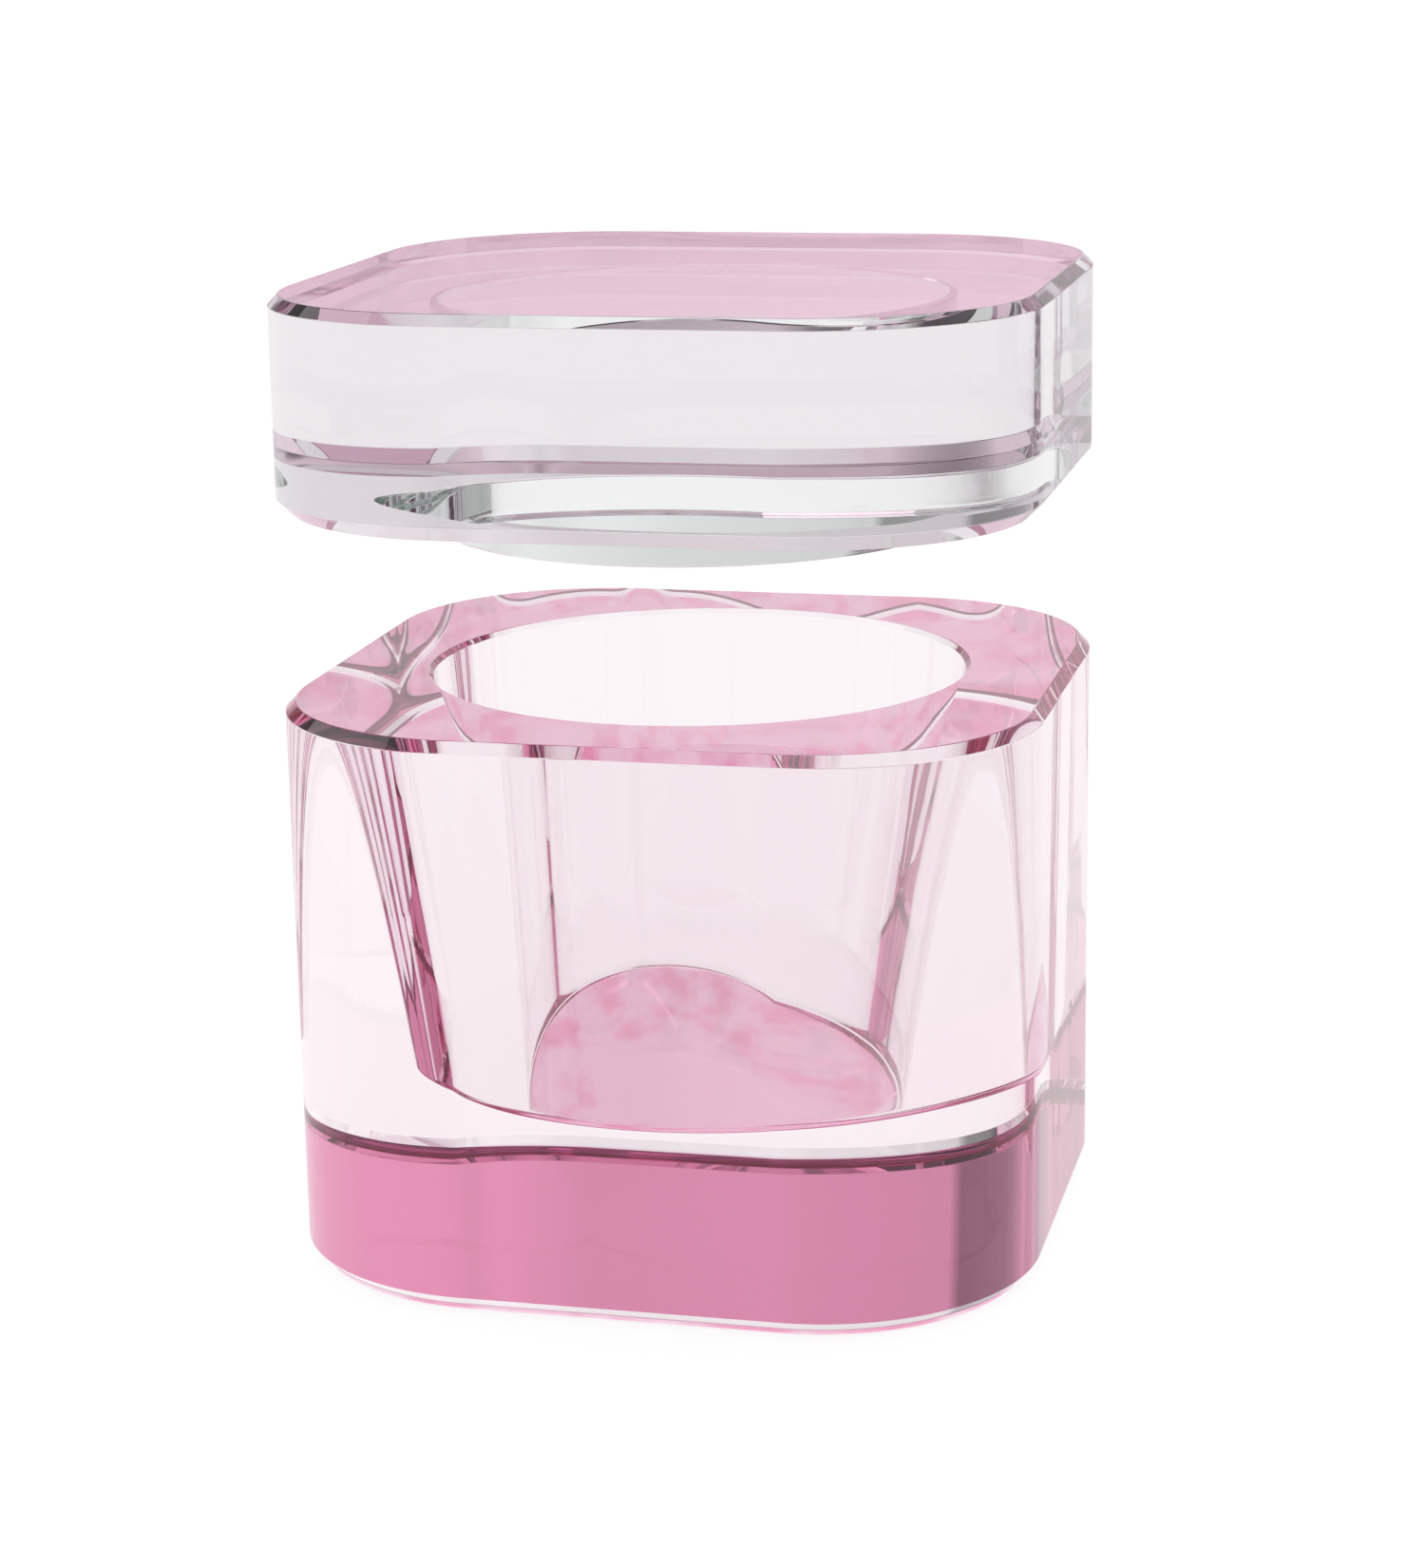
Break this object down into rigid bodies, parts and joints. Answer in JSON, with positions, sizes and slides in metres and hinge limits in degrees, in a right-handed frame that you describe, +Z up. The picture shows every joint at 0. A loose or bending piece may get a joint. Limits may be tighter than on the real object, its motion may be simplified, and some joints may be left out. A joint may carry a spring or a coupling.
{
  "type": "dappen dish",
  "caption": "Square crystal-glass dish with a round well for nail liquid, a tinted base, and a loose slab lid centred by a bonded disc.",
  "frame": {"origin": "centre of the underside of the base, which stands on the table", "axes": "+Z up along the axis of the well; -Y towards the front, where all four sides are alike"},
  "size_m": [0.05, 0.05, 0.0645],
  "materials": {
    "dish_glass": "cut and polished crystal",
    "pink_tint": "translucent pink colour coat",
    "clear_lacquer": "clear protective lacquer",
    "lid_glass": "cut and polished crystal",
    "disc_glass": "polished plate glass",
    "bond_adhesive": "clear cured adhesive"
  },
  "bodies": {
    "dish": {"dish_block": "dish_glass", "base_colour_coat": "pink_tint", "base_protective_coat": "clear_lacquer"},
    "lid": {"lid_block": "lid_glass", "lid_locating_disc": "disc_glass", "lid_bond_layer": "bond_adhesive"}
  },
  "joints": [
    {"name": "lid_lift", "type": "slide", "parent": "dish", "child": "lid", "axis": [0, 0, 1], "range_m": [-0.0125, 0.0075]}
  ]
}
